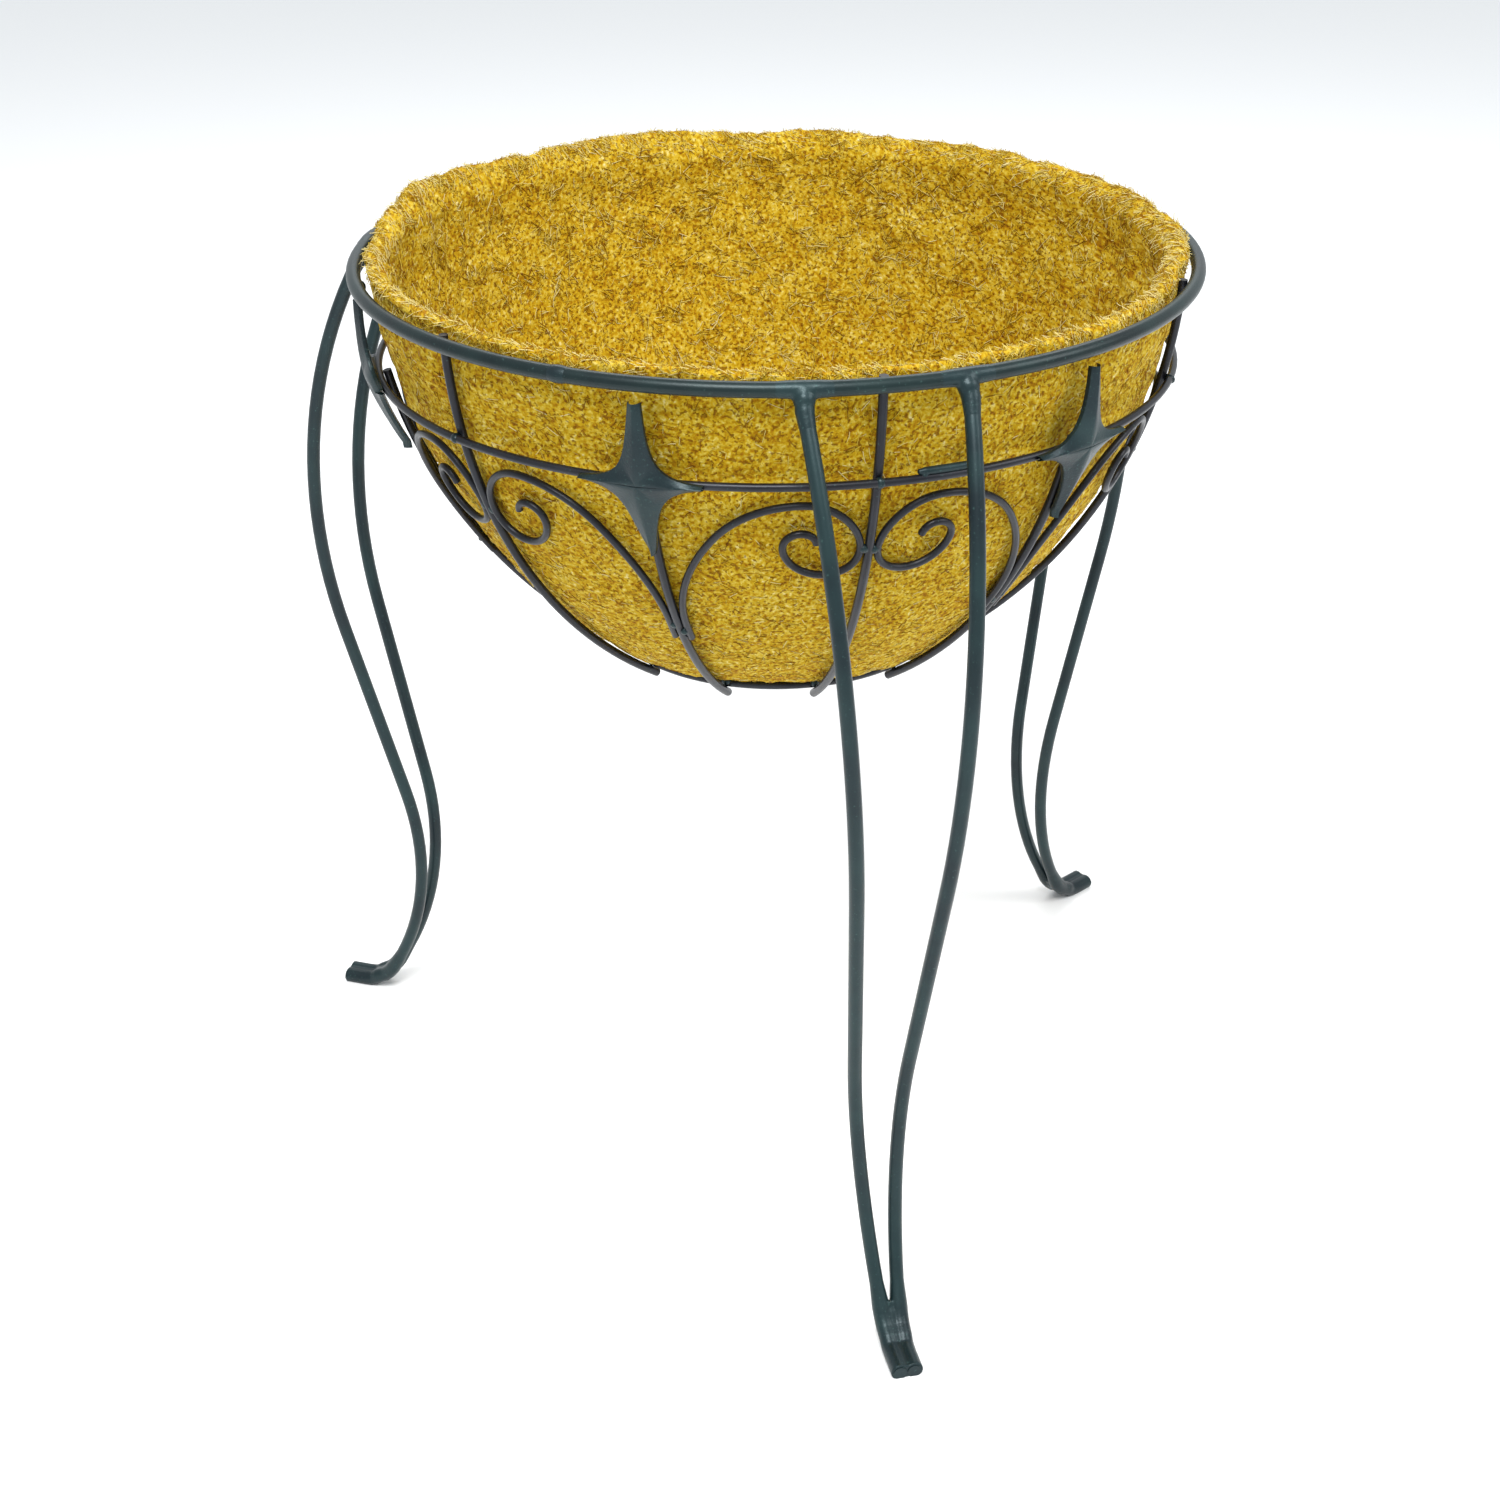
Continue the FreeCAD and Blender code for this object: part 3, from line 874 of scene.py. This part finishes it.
FLOOR_LOW, FLOOR_TOP, WALL_HEIGHTS, INNER, OUTER = bowl_walls()
EDGE_RISES = ((0, 4.0), (40, 4.6), (75, 7.5), (100, 8.6), (120, 9.2), (135, 10.8), (148, 10.6),
              (160, 13.4), (170, 9.8), (181, 13.8), (192, 14.0), (206, 12.0), (222, 12.6),
              (238, 14.4), (250, 6.8), (262, 5.6), (276, 8.4), (300, 5.2), (330, 4.4), (360, 4.0))


def edge_height(bearing):
    """Height of the torn edge, smooth between the chosen rises above the rim."""
    spots, rises = zip(*EDGE_RISES)
    window = [float(np.interp((bearing + shift) % 360, spots, rises)) for shift in range(-6, 7, 2)]
    turn = math.radians(bearing)
    tear = noise.noise(Vector((math.sin(turn) * 14, math.cos(turn) * 14, 3)))
    return RIM.z + (sum(window) / len(window) + 0.9 * tear) * MM


print("liner floor", round(FLOOR_TOP, 4), "wall thickness, mm", round(1000 * (OUTER[30] - INNER[30]), 1))

# %% Sweep and rough up the felt
AROUND, WALL_ROWS, FLOOR_ROWS, EDGE_ROWS = 400, 78, 16, 5
EDGE_FLARE, EDGE_CROWN = 0.55, 3.6 * MM
FLARE_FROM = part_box("plain_rib_1")[1].z + 0.5 * MM


def swelling_between_ribs(bearing, heights):
    """How far the felt swells out between two ribs near the rim, where nothing else holds it in."""
    pitch = 180 / BAYS
    aside = abs((bearing / pitch + 0.5) % 1 - 0.5) * math.radians(pitch) * RIM_RADIUS
    free = 1 - math.exp(-(aside / (9 * MM)) ** 2)
    rise = np.clip((heights - (RIM.z - 32 * MM)) / (18 * MM), 0, 1)
    return 2.4 * MM * free * rise * rise * (3 - 2 * rise)


def profile(top, bearing):
    """Points, as distance from the axis and height, from inside the floor over the edge to below."""
    rise = np.linspace(0.0, 1.0, WALL_ROWS)
    up = FLOOR_TOP + 1 * MM + (top - FLOOR_TOP - 4.5 * MM) * rise
    inside = [(float(np.interp(z, WALL_HEIGHTS, INNER)), float(z)) for z in up]
    down = FLOOR_LOW + 1.5 * MM + (top - FLOOR_LOW - 5 * MM) * rise[::-1]
    slope = (OUTER[8] - OUTER[0]) / (WALL_HEIGHTS[8] - WALL_HEIGHTS[0])
    outside = [(float(np.interp(z, WALL_HEIGHTS, OUTER)) + min(0.0, (z - WALL_HEIGHTS[0]) * slope),
                float(z)) for z in down]
    inner_corner, outer_corner = inside[0][0], outside[-1][0]
    floor = [(inner_corner * share, FLOOR_TOP) for share in np.linspace(0.03, 0.97, FLOOR_ROWS)]
    under = [(outer_corner * share, FLOOR_LOW) for share in np.linspace(0.97, 0.03, FLOOR_ROWS)]
    edge = []
    (in_r, in_z), (out_r, out_z) = inside[-1], outside[0]
    middle, half, shoulder = (in_r + out_r) / 2, (out_r - in_r) / 2, (in_z + out_z) / 2
    for step in range(1, EDGE_ROWS + 1):
        turn = math.pi * step / (EDGE_ROWS + 1)
        crown = EDGE_CROWN * math.sin(turn) ** 0.6
        edge.append((middle - half * math.cos(turn), shoulder + crown))
    line = np.array(floor + inside + edge + outside + under)
    for _ in range(3):
        line[1:-1] = 0.5 * line[1:-1] + 0.25 * (line[:-2] + line[2:])
    line[:, 0] += EDGE_FLARE * np.maximum(0, line[:, 1] - FLARE_FROM)
    line[:, 0] += swelling_between_ribs(bearing, line[:, 1])
    return line


def felt():
    """The profile swept round the axis, closed at the middle of the floor and of the underside."""
    points = []
    for bearing in np.linspace(0, 360, AROUND, endpoint=False):
        line = profile(edge_height(bearing), bearing)
        points.append([on_wall(bearing, radius, height) for radius, height in line])
    rows = len(points[0])
    flat = [points[column][row] for row in range(rows) for column in range(AROUND)]
    faces = skin(rows, AROUND)
    first, last = len(flat), len(flat) + 1
    flat += [AXIS + Vector((0, 0, FLOOR_TOP)), AXIS + Vector((0, 0, FLOOR_LOW))]
    for column in range(AROUND):
        beside = (column + 1) % AROUND
        faces.append((first, beside, column))
        faces.append((last, (rows - 1) * AROUND + column, (rows - 1) * AROUND + beside))
    return new_piece("liner_felt", flat, faces, coir)


liner = felt()
ZONE_INSIDE, ZONE_EDGE, ZONE_OUTSIDE = 0.0, 1.0, 2.0
EDGE_ZONE_ROWS = 5


def rough_up(piece):
    """Pushes every point along its normal, and marks the zone that it lies in."""
    mesh = piece.data
    edge_row = FLOOR_ROWS + WALL_ROWS + EDGE_ROWS // 2
    spots = np.empty(3 * len(mesh.vertices))
    ways = np.empty(3 * len(mesh.vertices))
    mesh.vertices.foreach_get("co", spots)
    mesh.vertex_normals.foreach_get("vector", ways)
    zones, pushes = [], []
    for index, spot in enumerate(map(Vector, spots.reshape(-1, 3))):
        row = index // AROUND
        side = ZONE_OUTSIDE if row > edge_row else ZONE_INSIDE
        zones.append(ZONE_EDGE if abs(row - edge_row) < EDGE_ZONE_ROWS else side)
        slack = noise.noise(spot * 11) * 0.7
        lump = noise.noise(spot * 55 + Vector((3, 0, 0))) * 0.9
        knot = noise.noise(spot * 160 + Vector((0, 7, 0))) * 0.7
        push = lump + knot + noise.noise(spot * 420) * 0.5
        outside = row > edge_row + 2 or index >= len(mesh.vertices) - 2
        pushes.append(min(0.0, push - 0.9 + slack) if outside else push)
    spots += ways * np.repeat(pushes, 3) * MM
    mesh.vertices.foreach_set("co", spots)
    mesh.attributes.new("zone", "FLOAT", "POINT").data.foreach_set("value", zones)
    mesh.update()


rough_up(liner)
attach(liner, "liner")
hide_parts("coco_liner")
print("felt triangles:", triangles(liner))

# %% [markdown]
# ## Loose fibres
#
# What makes coir read as coir is its loose strands: thousands of stiff hairs, most half a
# centimetre long and some over one, lying every way on the mat and sticking out of its edge. A
# zone number on each point tells the inside, the edge and the outside apart. The tree scatters
# straight three-sided hairs over one zone, lays them along the surface with a little tilt, and
# bends them all by moving their points through a slow noise field. Each hair keeps a random tone.

# %% The fibre tree
def fibre_tree(zone, density, length, thickness, tilt, wander, points, seed):
    """Hairs on one zone: their number per square metre, their size, lean and bend, and the seed."""
    tree = Tree("coir_fibres", Zone=zone, Density=density, Length=length, Thickness=thickness, Tilt=tilt,
                Wander=wander, Points=points, Seed=seed, Fibre=coir_fibre)
    place = tree.node("GeometryNodeInputNamedAttribute", {"data_type": "FLOAT"}, {"Name": "zone"})
    gap = tree.maths("SUBTRACT", place, tree.input("Zone"))
    apart = tree.maths("ABSOLUTE", gap)
    here = tree.maths("LESS_THAN", apart, 0.4)
    count = tree.maths("MULTIPLY", here, tree.input("Density"))
    spread = {"Mesh": tree.input("Geometry"), "Density": count, "Seed": tree.input("Seed")}
    spots = tree.node("GeometryNodeDistributePointsOnFaces", {}, spread)
    normal = spots.node.outputs["Normal"]
    line = tree.node("GeometryNodeCurvePrimitiveLine", {}, {"Start": (-0.5, 0, 0), "End": (0.5, 0, 0)})
    bent = tree.node("GeometryNodeResampleCurve", {}, {"Curve": line, "Count": tree.input("Points")})
    round_hair = tree.node("GeometryNodeCurvePrimitiveCircle", {}, {"Resolution": 3, "Radius": 0.5})
    hair = tree.node("GeometryNodeCurveToMesh", {}, {0: bent, 1: round_hair, "Fill Caps": True})
    upright = tree.node("FunctionNodeAlignRotationToVector", {"axis": "Z"}, {"Vector": normal})
    lean = tree.node("FunctionNodeRandomValue", {"data_type": "FLOAT"},
                     {2: -1.0, 3: 1.0, "Seed": tree.input("Seed")}, 1)
    leaning = tree.maths("MULTIPLY", lean, tree.input("Tilt"))
    spin = tree.node("FunctionNodeRandomValue", {"data_type": "FLOAT"},
                     {2: 0.0, 3: 2 * math.pi, "Seed": tree.input("Seed")}, 1)
    turn = tree.node("ShaderNodeCombineXYZ", {}, {"Y": leaning, "Z": spin})
    lying = tree.node("FunctionNodeRotateRotation", {"rotation_space": "LOCAL"}, {0: upright, 1: turn})
    share = tree.node("FunctionNodeRandomValue", {"data_type": "FLOAT"},
                      {2: 0.45, 3: 1.25, "Seed": tree.input("Seed")}, 1)
    long = tree.maths("MULTIPLY", share, tree.input("Length"))
    size = tree.node("ShaderNodeCombineXYZ", {},
                     {"X": long, "Y": tree.input("Thickness"), "Z": tree.input("Thickness")})
    hairs = tree.node("GeometryNodeInstanceOnPoints", {},
                      {"Points": spots, "Instance": hair, "Rotation": lying, "Scale": size})
    tone = tree.node("FunctionNodeRandomValue", {"data_type": "FLOAT"}, {2: 0.0, 3: 1.0, "Seed": 5}, 1)
    toned = tree.node("GeometryNodeStoreNamedAttribute", {"data_type": "FLOAT", "domain": "INSTANCE"},
                      {"Geometry": hairs, "Name": "tone", "Value": tone})
    solid = tree.node("GeometryNodeRealizeInstances", {}, {0: toned})
    drift = tree.node("ShaderNodeTexNoise", {}, {"Scale": 130.0, "Detail": 1.0}, "Color")
    centred = tree.node("ShaderNodeVectorMath", {"operation": "SUBTRACT"},
                        {0: drift, 1: (0.5, 0.5, 0.5)})
    moved = tree.node("ShaderNodeVectorMath", {"operation": "SCALE"},
                      {0: centred, "Scale": tree.input("Wander")})
    curly = tree.node("GeometryNodeSetPosition", {}, {"Geometry": solid, "Offset": moved})
    coloured = {0: curly, "Material": tree.input("Fibre")}
    tree.finish_with(tree.node("GeometryNodeSetMaterial", {}, coloured))
    return tree


FIBRES = {"fibres_inside_1": (ZONE_INSIDE, 72000.0, 5.5 * MM, 0.36 * MM, 0.10, 3 * MM, 3, 1),
          "fibres_inside_2": (ZONE_INSIDE, 72000.0, 4.5 * MM, 0.34 * MM, 0.16, 3 * MM, 3, 2),
          "fibres_inside_long": (ZONE_INSIDE, 26000.0, 13 * MM, 0.32 * MM, 0.12, 8 * MM, 5, 3),
          "fibres_outside": (ZONE_OUTSIDE, 72000.0, 5 * MM, 0.34 * MM, 0.04, 2 * MM, 3, 4),
          "fibres_edge": (ZONE_EDGE, 480000.0, 6 * MM, 0.28 * MM, 0.30, 3 * MM, 3, 5)}

for name, sizes in FIBRES.items():
    fibres = fibre_tree(*sizes).made_on(liner, name)
    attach(fibres, "liner")
    print(name, "triangles:", triangles(fibres))

# %% [markdown]
# ## Floor and light
#
# A pale seamless floor and soft boxes, as in a small studio: a broad key from high in front, a
# little to the left, a fill from the right, and a strip behind that draws the light lines on the
# satin rods. The plain transform keeps the floor white and the colours as they are mixed.

# %% Studio
FLOOR_HALF = 6.0
AIM_BELOW_RIM = 0.12


def studio():
    """The floor and the sky."""
    mesh = bpy.data.meshes.new("floor")
    corners = [(x * FLOOR_HALF, y * FLOOR_HALF, 0) for x, y in ((-1, -1), (1, -1), (1, 1), (-1, 1))]
    mesh.from_pydata(corners, [], [(0, 1, 2, 3)])
    floor = bpy.data.objects.new("floor", mesh)
    bpy.context.scene.collection.objects.link(floor)
    paper = Finish("floor_paper", Roughness=0.9, Specular_IOR_Level=0.1)
    paper.shader.inputs["Base Color"].default_value = (0.93, 0.93, 0.93, 1)
    mesh.materials.append(paper.material)
    floor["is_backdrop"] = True
    world = bpy.data.worlds.new("studio")
    world.use_nodes = True
    sky = world.node_tree.nodes["Background"]
    sky.inputs["Color"].default_value = (0.93, 0.97, 1.0, 1)
    sky.inputs["Strength"].default_value = 0.85
    bpy.context.scene.world = world


def soft_box(name, bearing, above, distance, size, power):
    """A rectangular light that faces the basket from a bearing and an angle above it."""
    light = bpy.data.objects.new(name, bpy.data.lights.new(name, "AREA"))
    light.data.energy = power
    light.data.shape = "RECTANGLE"
    light.data.size, light.data.size_y = size
    turn = math.radians(above)
    aim = RIM - Vector((0, 0, AIM_BELOW_RIM))
    back = outward(bearing) * math.cos(turn) + Vector((0, 0, math.sin(turn)))
    light.location = aim + back * distance
    light.rotation_euler = (-back).to_track_quat("-Z", "Y").to_euler()
    bpy.context.scene.collection.objects.link(light)


studio()
soft_box("key", -22, 56, 1.8, (0.8, 0.7), 34)
soft_box("fill", 62, 38, 1.9, (0.9, 0.9), 15)
soft_box("back", 165, 45, 1.9, (1.4, 0.5), 12)
print("studio ready")

# %% [markdown]
# ## Checking the size
#
# The looks must not change the object's size, so the box at the end is set beside the one
# from the start, and how far each side has grown is printed.

# %% Set both boxes side by side and print the growth
seen_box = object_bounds()
sizes = {"cad": [list(corner) for corner in cad_box], "visual": [list(corner) for corner in seen_box]}
grown = [[round((after - before) / MM, 1) for before, after in zip(*pair)]
         for pair in zip(cad_box, seen_box)]
print("grown, mm:", grown)
